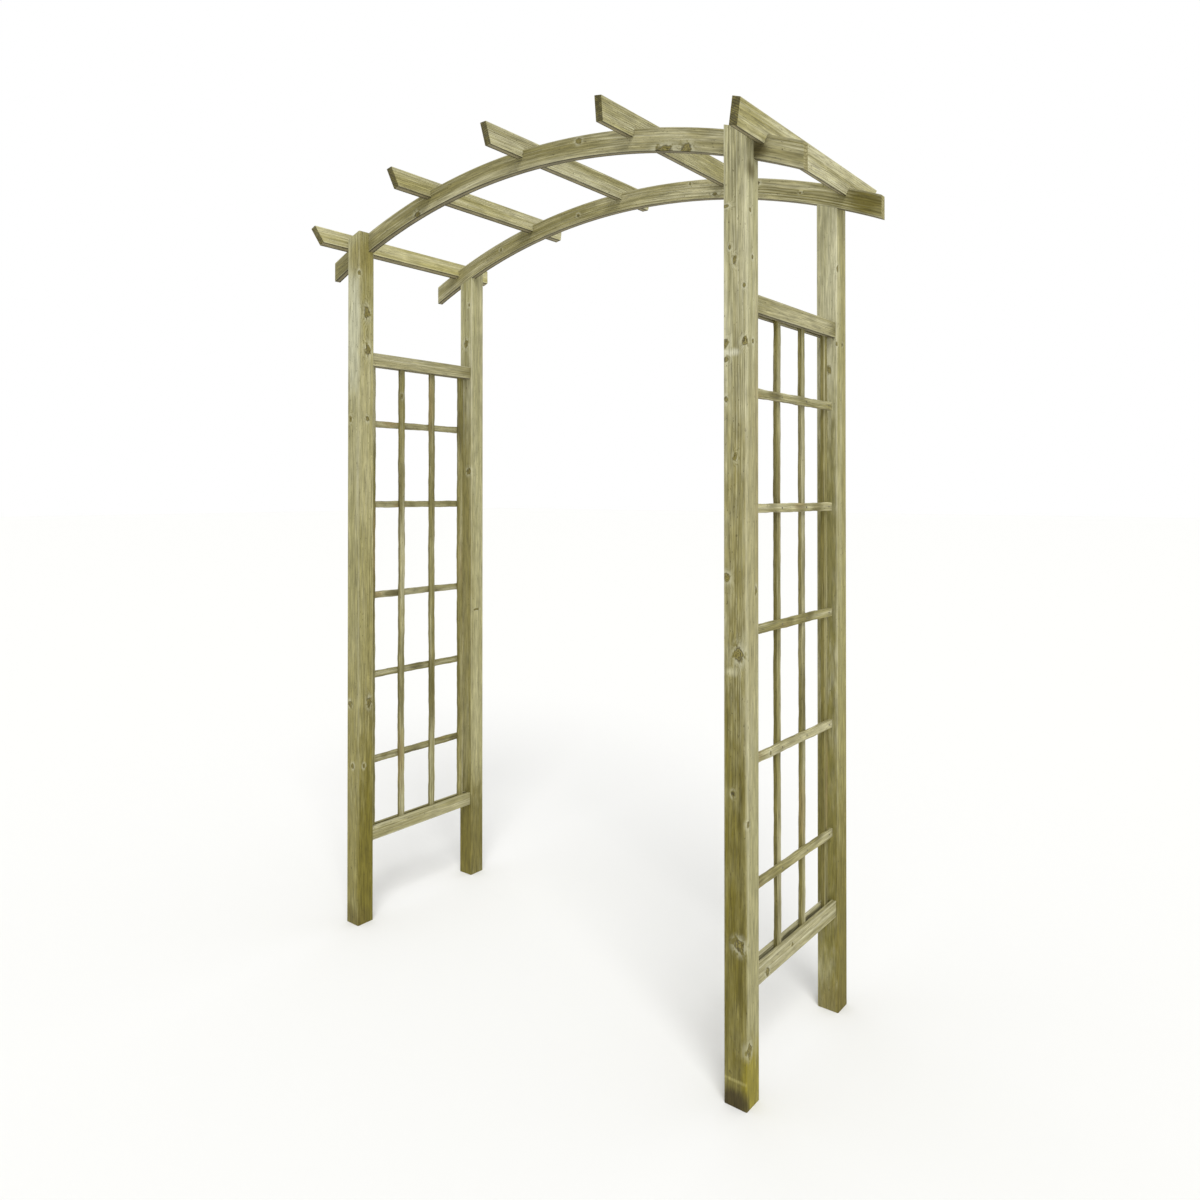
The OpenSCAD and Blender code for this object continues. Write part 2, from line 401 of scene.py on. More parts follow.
@dataclass(frozen=True)
class Stain:
    """A soft-edged patch of another colour, used for real stains, such as damp at a cut end, and for painted
    shade.

    Attributes:
        spot, size: its middle and half-axes in metres, in the frame.
        colour: what it turns the wood to.
        share: how much of that colour it brings at its middle.
    """

    spot: tuple[float, float, float]
    size: tuple[float, float, float]
    colour: str
    share: float = 0.6


@dataclass(frozen=True)
class FaceTone:
    """Light and shade painted on the faces of a board that look one way, with some shift of hue.

    Attributes:
        way: the direction that the face looks.
        colour: what it drifts to.
        share: how far.
    """

    way: tuple[float, float, float]
    colour: str
    share: float = 0.5


@dataclass(frozen=True)
class Board:
    """What one board is like: how it lies and what marks it.

    Attributes:
        middle: the middle of its box.
        grain_axis: the direction of its grain, which tells its cut ends from its faces.
        lay: the turn from +Z to its grain, or a turn given outright.
        bent: True where the mesh carries its own grain places, as on a curved beam.
        half: half its section, across the grain, which places the painted highlight along its arrises and the
            painted shadow line under them.
        shade: how light this board is beside the others.
        knots, stains, faces: its knots, its stains and patches of painted shade, and the light and shade
            painted on its faces that look one way.
    """

    middle: Vector
    grain_axis: tuple[float, float, float]
    lay: Lay | tuple[float, float, float] = Lay.UPRIGHT
    bent: bool = False
    half: tuple[float, float] | None = None
    shade: float = 1.0
    knots: tuple[Knot, ...] = ()
    stains: tuple[Stain, ...] = ()
    faces: tuple[FaceTone, ...] = ()


class NodeGraph:
    """A node tree, with one way to add to it."""

    # What a node starts from: mixes are of colours, and ranges ease in and out.
    USUAL = {"Mix": {"data_type": "RGBA"}, "MapRange": {"interpolation_type": "SMOOTHSTEP"}}

    def __init__(self, tree: bpy.types.NodeTree) -> None:
        """Empties the tree."""
        self.tree = tree
        tree.nodes.clear()

    def add(self, kind: str, links: dict | tuple = (), out: int | str = 0,
            **settings: object) -> Socket | None:
        """Adds one node.

        Args:
            kind: the node's type, without its ShaderNode prefix.
            links: a socket to link or a value to set for each input, in order or by name or number.
            out: which output to hand back.
            settings: the node's own properties, where they aren't the usual ones.

        Returns:
            The output asked for, or None from a node that has none.
        """
        node = self.tree.nodes.new("ShaderNode" + kind)
        for key, value in (self.USUAL.get(kind, {}) | settings).items():
            setattr(node, key, value)
        for key, value in (links.items() if isinstance(links, dict) else enumerate(links)):
            if isinstance(value, Socket):
                self.tree.links.new(value, node.inputs[key])
            else:
                node.inputs[key].default_value = value
        return node.outputs[out] if node.outputs else None

    def paint(self, tone: Socket | tuple, colour: str, value: Socket, span: tuple[float, ...]) -> Socket:
        """Lays a colour over another, by a share that eases as a value rises or falls.

        Args:
            tone: what is painted over.
            colour: the paint, an sRGB hex colour.
            value: what the share follows.
            span: the value at the start and the stop, and the share at each.

        Returns:
            The painted colour.
        """
        share = self.add("MapRange", (value,) + span)
        return self.add("Mix", {0: share, 6: tone, 7: linear(colour)}, out=2)

    def far_from(self, where: Socket, spot: tuple, size: tuple) -> Socket:
        """Returns the distance from an ellipsoid's middle, counted so that its skin is at 1."""
        offset = self.add("VectorMath", (where, spot), operation="SUBTRACT")
        scaled = self.add("VectorMath", (offset, tuple(1 / s for s in size)), operation="MULTIPLY")
        return self.add("VectorMath", (scaled,), out="Value", operation="LENGTH")


def fresh_material(name: str) -> bpy.types.Material:
    """Returns a new material of that name that uses nodes."""
    material = bpy.data.materials.new(name)
    material.use_nodes = True
    return material


class BoardGraph(NodeGraph):
    """The node tree of one board, with its places and its grain.

    Attributes:
        where: the place in the frame, in metres.
        place: the place in the board, in metres: X and Y across the grain, Z along it.
        normal: which way the face looks.
    """

    def __init__(self, tree: bpy.types.NodeTree, board: Board, shift: tuple[float, ...]) -> None:
        """Starts the tree.

        Args:
            tree: the material's tree.
            board: how the board lies.
            shift: a move that no other board has, so that no two look the same.
        """
        super().__init__(tree)
        self.where = self.add("TexCoord", out="Object")
        self.normal = self.add("NewGeometry", out="Normal")
        if board.bent:
            self.place = self.add("Attribute", out="Vector", attribute_name="grain")
        else:
            turn = board.lay.value if isinstance(board.lay, Lay) else board.lay
            self.place = self.add("Mapping", {"Vector": self.where, "Location": board.middle,
                                              "Rotation": turn}, vector_type="TEXTURE")
        self.seeded = self.add("VectorMath", (self.place, shift), operation="ADD")

    def noise(self, pattern: Pattern, along: float | None = None) -> Socket:
        """Adds one pattern's noise.

        Args:
            pattern: which.
            along: its cycles in a metre along the grain, where they differ from the usual.

        Returns:
            The noise, from 0 to 1.
        """
        across, usual, detail = pattern.value
        spread = self.add("VectorMath", (self.seeded, (across, across, along or usual)),
                          operation="MULTIPLY")
        return self.add("TexNoise", {"Vector": spread, "Scale": 1.0, "Detail": detail, "Roughness": 0.6},
                        out="Fac")

    def mottled(self, tone: Socket | tuple, share: float, noise: Socket) -> Socket:
        """Lightens and darkens a colour by a share of a noise, and returns it."""
        level = self.add("MapRange", (noise, 0.28, 0.72), interpolation_type="LINEAR")
        return self.add("Mix", {0: share, 6: tone, 7: level}, out=2, blend_type="OVERLAY")


@dataclass(frozen=True)
class KnotPaint:
    """A knot in treated pine: a patchy pale halo, a brown rim, and an olive heart with rings and checks.

    Attributes:
        halo, shadow: the wood round it, bleached in places and brown in others.
        heart, ring, check: the knot's own wood, its year rings and its cracks.
        rim: its bark line.
        ring_rate: how fast the rings follow each other from its middle to its rim, in radians.
    """

    halo: str = "#CBC9AC"
    shadow: str = "#6E6631"
    heart: str = "#8A8044"
    ring: str = "#585022"
    check: str = "#2F2813"
    rim: str = "#463D1C"
    ring_rate: float = 15.0

    def lay(self, graph: NodeGraph, tone: Socket, near: Socket, uneven: Socket, speck: Socket) -> Socket:
        """Paints the knots on a board.

        Args:
            graph: the tree to add to.
            tone: the wood's colour.
            near: distance from the nearest knot, with its rim at 1.
            uneven, speck: a slow and a fine noise that break the marks up.

        Returns:
            The wood's colour with its knots.
        """
        add = graph.add
        patchy = add("MapRange", (uneven, 0.35, 0.62, 0.1, 1.0))
        halo = add("Math", (add("MapRange", (near, 1.1, 2.8, 0.48, 0.0)), patchy), operation="MULTIPLY")
        tone = add("Mix", {0: halo, 6: tone, 7: linear(self.halo)}, out=2)
        brown = add("MapRange", (uneven, 0.52, 0.34))
        shadow = add("Math", (add("MapRange", (near, 1.0, 2.0, 0.75, 0.0)), brown), operation="MULTIPLY")
        tone = add("Mix", {0: shadow, 6: tone, 7: linear(self.shadow)}, out=2)
        turns = add("Math", (near, self.ring_rate), operation="MULTIPLY")
        heart = graph.paint(linear(self.heart), self.ring, add("Math", (turns,), operation="SINE"),
                            (-0.8, 0.9, 0.0, 0.8))
        heart = graph.paint(heart, self.check, speck, (0.54, 0.62, 0.0, 0.85))
        inside = add("MapRange", (near, 0.78, 1.2, 0.9, 0.0))
        tone = add("Mix", {0: inside, 6: tone, 7: heart}, out=2)
        off_rim = add("Math", (add("Math", (near, 1.0), operation="SUBTRACT"),), operation="ABSOLUTE")
        rim = add("MapRange", (off_rim, 0.03, 0.3, 0.7, 0.0))
        rim = add("Math", (rim, patchy), operation="MULTIPLY")
        return add("Mix", {0: rim, 6: tone, 7: linear(self.rim)}, out=2)


@dataclass(frozen=True)
class TreatedPine:
    """Pressure-treated pine, planed or sawn: a pale grey-olive face with darker late-wood lines.

    The salts leave the open early wood pale and green and the late wood brown, the ends drink most
    and go dark, and what stands low stays damp and darker. The faces that look down are painted
    darker as shade, with a painted shadow line along their arrises, and the arrises get a painted
    highlight.

    Attributes:
        pale, olive: face colours between which broad patches drift.
        line: colour of the late wood.
        end, end_line: early and late wood of the cut ends.
        damp, shaded: painted shade on the downward faces, and the darker painted shadow line along their
            arrises.
        wet, dry: streaks that drank more and less of the salts.
        bleached: fibres that the sun has paled.
        foot: what a post's colour goes to at its foot.
        fleck: resin flecks.
        rubbed: a painted highlight along the arrises.
        ring: growth of one year, in metres.
        pith: where the middle of the tree lies from the board's middle, in metres.
        rough: how strongly the fibres stand up.
        contrast: how dark the late wood grows where it shows most.
        sway: how many times in a metre the year lines swing out and back.
        low_top: height from which a post goes greener towards its foot, in metres, or 0.
        low_share: how green it is at its foot.
        knots: how its knots look.
    """

    pale: str = "#BDB996"
    olive: str = "#95905F"
    line: str = "#6D6639"
    end: str = "#6A6233"
    end_line: str = "#3B341A"
    damp: str = "#82795E"
    shaded: str = "#2E2814"
    wet: str = "#7B7344"
    dry: str = "#CFCBAA"
    bleached: str = "#D2CFB2"
    foot: str = "#7C7438"
    fleck: str = "#463D20"
    rubbed: str = "#D6D2B2"
    ring: float = 4.2 * MM
    pith: tuple[float, float] = (0.034, 0.052)
    rough: float = 0.5
    contrast: float = 0.6
    sway: float = 1.7
    low_top: float = 0.0
    low_share: float = 0.8
    knots: KnotPaint = KnotPaint()

    def near_knot(self, graph: BoardGraph, knots: tuple[Knot, ...], uneven: Socket) -> Socket:
        """Measures how far each point is from the nearest knot, where 1 is its rim.

        Args:
            graph: the tree to add to.
            knots: the board's knots.
            uneven: a small wobble that keeps the rims from being true ellipses.

        Returns:
            The distance, or a far constant where the board has no knots.
        """
        nearest: Socket | float = 9.0
        for knot in knots:
            distance = graph.far_from(graph.where, knot.spot, knot.size)
            nearest = graph.add("Math", (nearest, distance), operation="MINIMUM")
        return graph.add("Math", (nearest, uneven if knots else 0.0), operation="ADD")

    def arris_gap(self, graph: BoardGraph, half: tuple[float, float]) -> Socket:
        """Finds how near a face's point is to the arris that it shares with the next face.

        On a face one of the two distances to the sides is nothing and the other is the distance to
        the arris, so the larger of them tells it. A noise of up to 6 mm makes the edge ragged.

        Args:
            graph: the tree to add to.
            half: half the board's section.

        Returns:
            The distance, in metres.
        """
        inward = graph.add("VectorMath", (graph.place,), operation="ABSOLUTE")
        inward = graph.add("VectorMath", (half + (0.0,), inward), operation="SUBTRACT")
        across = graph.add("SeparateXYZ", (inward,)).node.outputs
        away = graph.add("Math", (across[0], across[1]), operation="MAXIMUM")
        return graph.add("Math", (graph.noise(Pattern.RUB), 6 * MM, away), operation="MULTIPLY_ADD")

    def year_wave(self, graph: BoardGraph, near: Socket, centre: tuple[float, float]) -> Socket:
        """Draws the year rings.

        The distance from the pith, bent by slow drift along the grain and pushed out round each
        knot, is wrapped once for each year.

        Args:
            graph: the tree to add to.
            near: distance from the nearest knot.
            centre: where the pith lies, across the grain.

        Returns:
            How late in its year each point grew, from 0 to 1.
        """
        add = graph.add
        flat = add("VectorMath", (graph.place, (1, 1, 0)), operation="MULTIPLY")
        total = add("VectorMath", (flat, centre + (0.0,)), out="Value", operation="DISTANCE")
        drift = add("MapRange", (graph.noise(Pattern.SWAY, self.sway), 0, 1, -16 * MM, 16 * MM),
                    interpolation_type="LINEAR")
        jitter = add("MapRange", (graph.noise(Pattern.JITTER), 0, 1, -2 * MM, 2 * MM),
                     interpolation_type="LINEAR")
        for part in (drift, jitter, add("MapRange", (near, 0.6, 3.4, 10 * MM, 0.0))):
            total = add("Math", (total, part), operation="ADD")
        years = add("Math", (total, 2 * math.pi / self.ring), operation="MULTIPLY")
        return add("MapRange", (add("Math", (years,), operation="SINE"), -0.1, 1.0))

    def face_tone(self, graph: BoardGraph, wave: Socket, fibre: Socket) -> Socket:
        """Paints a board's faces: broad patches, streaks, fibres and late-wood lines.

        Args:
            graph: the tree to add to.
            wave: how late in its year each point grew.
            fibre: the fibres' noise.

        Returns:
            The colour.
        """
        add, paint = graph.add, graph.paint
        tone = paint(linear(self.pale), self.olive, graph.noise(Pattern.PATCH), (0.36, 0.64, 0.0, 1.0))
        streak = graph.noise(Pattern.STREAK)
        tone = paint(tone, self.wet, streak, (0.50, 0.66, 0.0, 0.50))
        tone = paint(tone, self.dry, streak, (0.47, 0.34, 0.0, 0.42))
        tone = paint(tone, self.olive, fibre, (0.40, 0.68, 0.0, 0.45))
        tone = paint(tone, self.bleached, fibre, (0.46, 0.30, 0.0, 0.40))
        strength = add("MapRange", (graph.noise(Pattern.LATE_WOOD), 0.36, 0.66, 0.04, self.contrast),
                       interpolation_type="LINEAR")
        share = add("Math", (wave, strength), operation="MULTIPLY")
        return add("Mix", {0: share, 6: tone, 7: linear(self.line)}, out=2)

    def stained(self, graph: BoardGraph, tone: Socket, board: Board) -> Socket:
        """Lays a board's painted face light and shade, its stains and its patches of painted shade over its
        colour.

        Args:
            graph: the tree to add to.
            tone: the colour so far.
            board: the board.

        Returns:
            The colour with them.
        """
        for face in board.faces:
            looks = graph.add("VectorMath", (graph.normal, face.way), out="Value", operation="DOT_PRODUCT")
            tone = graph.paint(tone, face.colour, looks, (0.4, 0.9, 0.0, face.share))
        ragged = graph.add("Math", (graph.noise(Pattern.RAGGED), 1.1), operation="MULTIPLY")
        for stain in board.stains:
            away = graph.far_from(graph.where, stain.spot, stain.size)
            reach = graph.add("Math", (away, ragged), operation="ADD")
            tone = graph.paint(tone, stain.colour, reach, (1.75, 0.95, 0.0, stain.share))
        return tone

    def relief(self, graph: BoardGraph, near: Socket, parts: tuple[tuple[Socket, float], ...]) -> Socket:
        """Raises late wood and fibres a little over the soft wood, and stands each knot in its own dip.

        Args:
            graph: the tree to add to.
            near: distance from the nearest knot.
            parts: what stands proud, each with its share of the height.

        Returns:
            The bumped normal.
        """
        height: Socket | float = 0.0
        dip = graph.add("MapRange", (near, 0.8, 1.1, 1.0, 0.0))
        for part, share in parts + ((graph.noise(Pattern.FINE), 0.6), (dip, -0.8)):
            height = graph.add("Math", (part, share, height), operation="MULTIPLY_ADD")
        return graph.add("Bump", {"Height": height, "Strength": self.rough, "Distance": 1.2 * MM},
                         out="Normal")

    def end_tone(self, graph: BoardGraph, wave: Socket) -> Socket:
        """Paints the cut ends: rings of early and late wood under patches of dirt, and returns the colour."""
        core = graph.paint(linear(self.end), self.end_line, wave, (0.1, 0.9, 0.0, 1.0))
        return graph.paint(core, self.end_line, graph.noise(Pattern.DIRT), (0.42, 0.56, 0.0, 0.7))

    def build(self, name: str, board: Board) -> bpy.types.Material:
        """Makes this finish for one board.

        Args:
            name: the material's name.
            board: how the board lies and what marks it.

        Returns:
            The material.
        """
        rng = np.random.default_rng(seed_of(name))
        material = fresh_material(name)
        graph = BoardGraph(material.node_tree, board, tuple(float(v) for v in rng.uniform(-9, 9, 3)))
        add, paint, noise = graph.add, graph.paint, graph.noise
        centre = tuple(p * float(rng.uniform(0.8, 1.2) * rng.choice([-1, 1])) for p in self.pith)

        wobble = noise(Pattern.WOBBLE)
        ripple = add("MapRange", (wobble, 0.2, 0.8, -0.45, 0.45), interpolation_type="LINEAR")
        near = self.near_knot(graph, board.knots, ripple)
        wave = self.year_wave(graph, near, centre)
        fibre, mottle, speck = noise(Pattern.FIBRE), noise(Pattern.MOTTLE), noise(Pattern.FLECK)

        tone = self.face_tone(graph, wave, fibre)
        if self.low_top:
            # The foot stood deepest in the salts, so a post greens from its shoulders down.
            level = add("SeparateXYZ", (graph.where,), out="Z")
            level = add("Math", (noise(Pattern.SHOULDER), 0.5, level), operation="MULTIPLY_ADD")
            tone = paint(tone, self.foot, level, (self.low_top, 0.15, 0.0, self.low_share))
        tone = self.stained(graph, tone, board)
        # Grit and mottle only lighten or darken what lies under them, so they show on stains too.
        tone = graph.mottled(tone, 0.20, mottle)
        tone = graph.mottled(tone, 0.34, noise(Pattern.GRIT))
        tone = paint(tone, self.fleck, speck, (0.65, 0.72, 0.0, 0.65))

        arris_shadow_share: Socket | float = 0.0
        if board.half:
            gap = self.arris_gap(graph, board.half)
            # A painted highlight along each arris, as if its eased edge caught the light.
            arris_highlight_share = add("MapRange", (gap, 9 * MM, 3.5 * MM, 0.0, 0.26))
            if self.low_top:
                # The painted highlight fades out towards a post's foot, where its arris stays green.
                arris_highlight_share = add("Math", (arris_highlight_share, add("MapRange", (level, 0.35, 1.30))),
                                operation="MULTIPLY")
            tone = add("Mix", {0: arris_highlight_share, 6: tone, 7: linear(self.rubbed)}, out=2)
            # A painted shadow line along the arrises, which shows on the faces that look down.
            arris_shadow_share = add("MapRange", (gap, 11 * MM, 6.5 * MM, 0.0, 0.95))
        if board.knots:
            tone = self.knots.lay(graph, tone, near, wobble, speck)

        facing = add("VectorMath", (graph.normal, board.grain_axis), out="Value", operation="DOT_PRODUCT")
        cut = add("MapRange", (add("Math", (facing,), operation="ABSOLUTE"), 0.62, 0.85, 0.0, 0.88))
        tone = add("Mix", {0: cut, 6: tone, 7: self.end_tone(graph, wave)}, out=2)
        # Faces that look down are painted darker, as shade.
        down = add("MapRange", (add("SeparateXYZ", (graph.normal,), out="Z"), -0.35, -0.85, 0.0, 0.85))
        under = graph.mottled(linear(self.damp), 0.35, mottle)
        under = add("Mix", {0: arris_shadow_share, 6: under, 7: linear(self.shaded)}, out=2)
        tone = add("Mix", {0: down, 6: tone, 7: under}, out=2)
        tone = add("HueSaturation", {"Color": tone, "Value": board.shade}, out="Color")

        bump = self.relief(graph, near, ((wave, 0.5), (fibre, 0.9), (mottle, 0.5)))
        dull = add("MapRange", (fibre, 0, 1, 0.68, 0.92), interpolation_type="LINEAR")
        shader = add("BsdfPrincipled", {"Base Color": tone, "Roughness": dull, "Normal": bump, "IOR": 1.5,
                                        "Specular IOR Level": 0.3})
        add("OutputMaterial", (shader,))
        return material


@dataclass(frozen=True)
class DullZinc:
    """Zinc-plated steel gone dull outdoors: grey, with brown stain drawn from the wood."""

    plate: str = "#77746A"
    stain: str = "#4A4228"

    def build(self, name: str) -> bpy.types.Material:
        """Makes this finish and returns the material."""
        material = fresh_material(name)
        graph = NodeGraph(material.node_tree)
        where = graph.add("TexCoord", out="Object")
        # Blotches of stain 2 to 3 mm across.
        blotch = graph.add("TexNoise", {"Vector": where, "Scale": 400.0, "Detail": 2.0}, out="Fac")
        share = graph.add("MapRange", (blotch, 0.4, 0.65), interpolation_type="LINEAR")
        tone = graph.add("Mix", {0: share, 6: linear(self.plate), 7: linear(self.stain)}, out=2)
        bump = graph.add("Bump", {"Height": blotch, "Strength": 0.3, "Distance": 0.2 * MM}, out="Normal")
        shader = graph.add("BsdfPrincipled", {"Base Color": tone, "Metallic": 0.85, "Roughness": 0.55,
                                              "Normal": bump})
        graph.add("OutputMaterial", (shader,))
        return material


@dataclass(frozen=True)
class PlainBeech:
    """Turned beech dowel, unfinished: fine pale brown with short flecks."""

    wood: str = "#C7AE82"
    fleck: str = "#9A7F55"

    def build(self, name: str) -> bpy.types.Material:
        """Makes this finish and returns the material."""
        material = fresh_material(name)
        graph = NodeGraph(material.node_tree)
        where = graph.add("TexCoord", out="Object")
        # Flecks about 1 mm wide and 7 mm long, along Y as the dowels lie.
        spread = graph.add("VectorMath", (where, (900, 150, 900)), operation="MULTIPLY")
        flecks = graph.add("TexNoise", {"Vector": spread, "Scale": 1.0, "Detail": 2.0}, out="Fac")
        share = graph.add("MapRange", (flecks, 0.5, 0.7), interpolation_type="LINEAR")
        tone = graph.add("Mix", {0: share, 6: linear(self.wood), 7: linear(self.fleck)}, out=2)
        shader = graph.add("BsdfPrincipled", {"Base Color": tone, "Roughness": 0.6})
        graph.add("OutputMaterial", (shader,))
        return material


# ---------------------------------------------------------------- sub-assemblies


def dress(piece: bpy.types.Object, material: bpy.types.Material) -> None:
    """Gives a piece one material in place of all that it has."""
    piece.data.materials.clear()
    piece.data.materials.append(material)


def dress_node(name: str, material: bpy.types.Material) -> None:
    """Gives a frame node another material in every one of its slots."""
    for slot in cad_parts[name].material_slots:
        slot.material = material


def middle_of(name: str) -> Vector:
    """Returns the middle of a frame node's box."""
    low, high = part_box(name)
    return (Vector(low) + Vector(high)) / 2


def stand_for(piece: bpy.types.Object, node: str) -> None:
    """Puts a new piece in a frame node's stead.

    Args:
        piece: the new piece.
        node: the node it replaces.
    """
    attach(piece, "root")
    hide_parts(node)
    LOG.info("%s: %d points", piece.name, len(piece.data.vertices))


def face_knot(axis: int, face: float, first: float, height: float, radius: float, tall: float = 1.4) -> Knot:
    """Makes a knot on one flat face of a post, rail or lath.

    Args:
        axis: 0 where the face looks along X, 1 where it looks along Y.
        face: the face's place on that axis, in mm.
        first: the knot's place on the other level axis, in mm.
        height: how high it is, in mm.
        radius: half its width, in mm.
        tall: its height over its width.

    Returns:
        The knot, in metres.
    """
    spot = (face, first, height) if axis == 0 else (first, face, height)
    size = (radius, radius, radius * tall)
    return Knot(tuple(v * MM for v in spot), tuple(v * MM for v in size))


# Knots of each post: for each of its faces, by axis and place, the rest of what face_knot takes.
POST_KNOTS = {
    "front_right_post": {
        (1, -283): (
            (695, 1772, 8, 1.1), (747, 1771, 8, 1.1), (697, 1733, 6, 1.0), (697, 1640, 4, 2.0),
            (719, 1962, 4.5, 2.0), (707, 1994, 3.5, 1.6), (697, 2092, 9, 0.45), (745, 1900, 4),
            (721, 1504, 4, 1.8), (697, 1225, 9, 1.1), (730, 1047, 11, 1.5), (714, 722, 4, 1.6),
            (731, 375, 12, 1.1),
        ),
        (0, 750): (
            (-250, 1775, 4, 1.4), (-276, 657, 5), (-270, 137, 9, 1.5), (-252, 1971, 4),
            (-237, 1194, 4, 2.0), (-262, 2078, 3.5),
        ),
    },
    "front_left_post": {
        (1, -283): ((-734, 1667, 6), (-735, 722, 8, 1.2), (-719, 519, 6)),
        (0, -690): (
            (-252, 2020, 10, 1.9), (-247, 1896, 9, 1.8), (-248, 1667, 6), (-241, 727, 8, 1.8),
            (-261, 519, 5), (-283, 2148, 6, 1.2),
        ),
    },
    "back_right_post": {
        (0, 750): ((224, 1828, 3.5), (258, 1832, 3.5), (228, 2037, 5, 1.8)),
        (1, 223): ((727, 1760, 6),),
        (1, 283): ((716, 1210, 11, 1.4), (728, 520, 7)),
    },
    "back_left_post": {
        (1, 223): ((-719, 1980, 10, 1.3), (-703, 2124, 4.5), (-704, 1502, 9, 1.2)),
        (1, 283): ((-712, 1430, 11, 1.5),),
        (0, -750): ((250, 900, 8),),
        (0, -690): ((250, 985, 10, 0.35),),
    },
}
# Light and shade painted on single faces of each post, as the key light falls on them, with some shift of
# hue.
POST_FACE_LIGHT = {
    "front_right_post": (FaceTone((1, 0, 0), "#C6C29C", 0.30), FaceTone((0, -1, 0), "#8B8562", 0.25)),
    "front_left_post": (FaceTone((1, 0, 0), "#968D4E", 0.40), FaceTone((0, -1, 0), "#9C976C", 0.35)),
    "back_right_post": (FaceTone((1, 0, 0), "#A8A064", 0.34), FaceTone((0, -1, 0), "#C6C3A6", 0.35)),
    "back_left_post": (FaceTone((1, 0, 0), "#B9B48A", 0.45),),
}
POST_STAINS_AND_SHADE = {
    "front_right_post": (
        Stain((0.712, -0.296, 0.400), (0.070, 0.022, 0.880), "#655C18", 0.92),
        Stain((0.704, -0.296, 1.330), (0.080, 0.022, 0.480), "#7B7238", 0.75),
        Stain((0.734, -0.290, 0.450), (0.009, 0.012, 0.600), "#4F4714", 0.55),
        Stain((0.712, -0.290, 1.748), (0.032, 0.012, 0.012), "#CFCDB4", 0.80),
        Stain((0.712, -0.290, 1.005), (0.026, 0.012, 0.014), "#C6C3A2", 0.55),
        Stain((0.752, -0.275, 1.150), (0.008, 0.007, 1.150), "#D2CEAC", 0.35),
        Stain((0.752, -0.235, 1.500), (0.008, 0.010, 0.500), "#A0946F", 0.60),
        Stain((0.752, -0.255, 0.050), (0.020, 0.060, 0.120), "#8A7F26", 0.90),
        Stain((0.752, -0.255, 1.300), (0.012, 0.050, 0.520), "#938A58", 0.50),
        Stain((0.712, -0.290, 0.062), (0.060, 0.012, 0.006), "#B3AA6C", 0.62),
        Stain((0.716, -0.290, 0.012), (0.090, 0.024, 0.040), "#40371C", 0.95),
        # Painted shade on the post's head, under the beam and the last rafter.
        Stain((0.758, -0.262, 2.172), (0.026, 0.030, 0.030), "#5F562E", 0.80),
    ),
    "front_left_post": (
        Stain((-0.684, -0.250, 0.200), (0.020, 0.060, 0.520), "#6A6118", 0.84),
        Stain((-0.720, -0.292, 0.250), (0.060, 0.016, 0.450), "#7B7236", 0.60),
        Stain((-0.720, -0.292, 0.680), (0.060, 0.018, 0.400), "#857C40", 0.45),
        Stain((-0.684, -0.250, 0.720), (0.014, 0.034, 0.060), "#6A6230", 0.60),
        Stain((-0.720, -0.292, 1.960), (0.070, 0.022, 0.260), "#BFC0A8", 0.55),
        Stain((-0.690, -0.283, 1.050), (0.006, 0.006, 0.800), "#6E6834", 0.55),
        Stain((-0.700, -0.262, 2.200), (0.060, 0.060, 0.070), "#857B40", 0.70),
        Stain((-0.720, -0.283, 0.020), (0.060, 0.060, 0.050), "#5F5528", 0.60),
    ),
    "back_right_post": (
        # The first two patches are painted shade on the post's front face, in the narrow gap beside the last
        # upright lath.
        Stain((0.716, 0.216, 1.280), (0.060, 0.022, 0.480), "#6E6726", 0.80),
        Stain((0.716, 0.216, 0.480), (0.060, 0.022, 0.600), "#736B24", 0.85),
        Stain((0.752, 0.255, 0.180), (0.020, 0.060, 0.420), "#6E6526", 0.85),
        Stain((0.730, 0.240, 0.020), (0.060, 0.060, 0.070), "#6B6028", 0.60),
    ),
    "back_left_post": (
        Stain((-0.710, 0.240, 0.130), (0.080, 0.080, 0.270), "#655C1F", 0.80),
        Stain((-0.716, 0.216, 1.200), (0.060, 0.022, 0.700), "#81783E", 0.65),
    ),
}


@dataclass
class Posts:
    """The four square posts, which keep their frame nodes.

    Attributes:
        half: half their width.
        pine: their finish.
    """

    half: float = 30 * MM
    pine: TreatedPine = TreatedPine(rough=0.45, contrast=0.72, sway=0.6, low_top=2.05)

    def make(self) -> None:
        """Dresses each post with its own piece of wood."""
        for side in Side:
            for end in End:
                name = f"{end.word}_{side.word}_post"
                knots = (face_knot(*face, *row) for face, rows in POST_KNOTS[name].items() for row in rows)
                board = Board(middle_of(name), (0, 0, 1), half=(self.half, self.half), knots=tuple(knots),
                              stains=POST_STAINS_AND_SHADE[name], faces=POST_FACE_LIGHT[name])
                dress_node(name, self.pine.build(f"{name}_pine", board))
                LOG.info("%s: dressed", name)


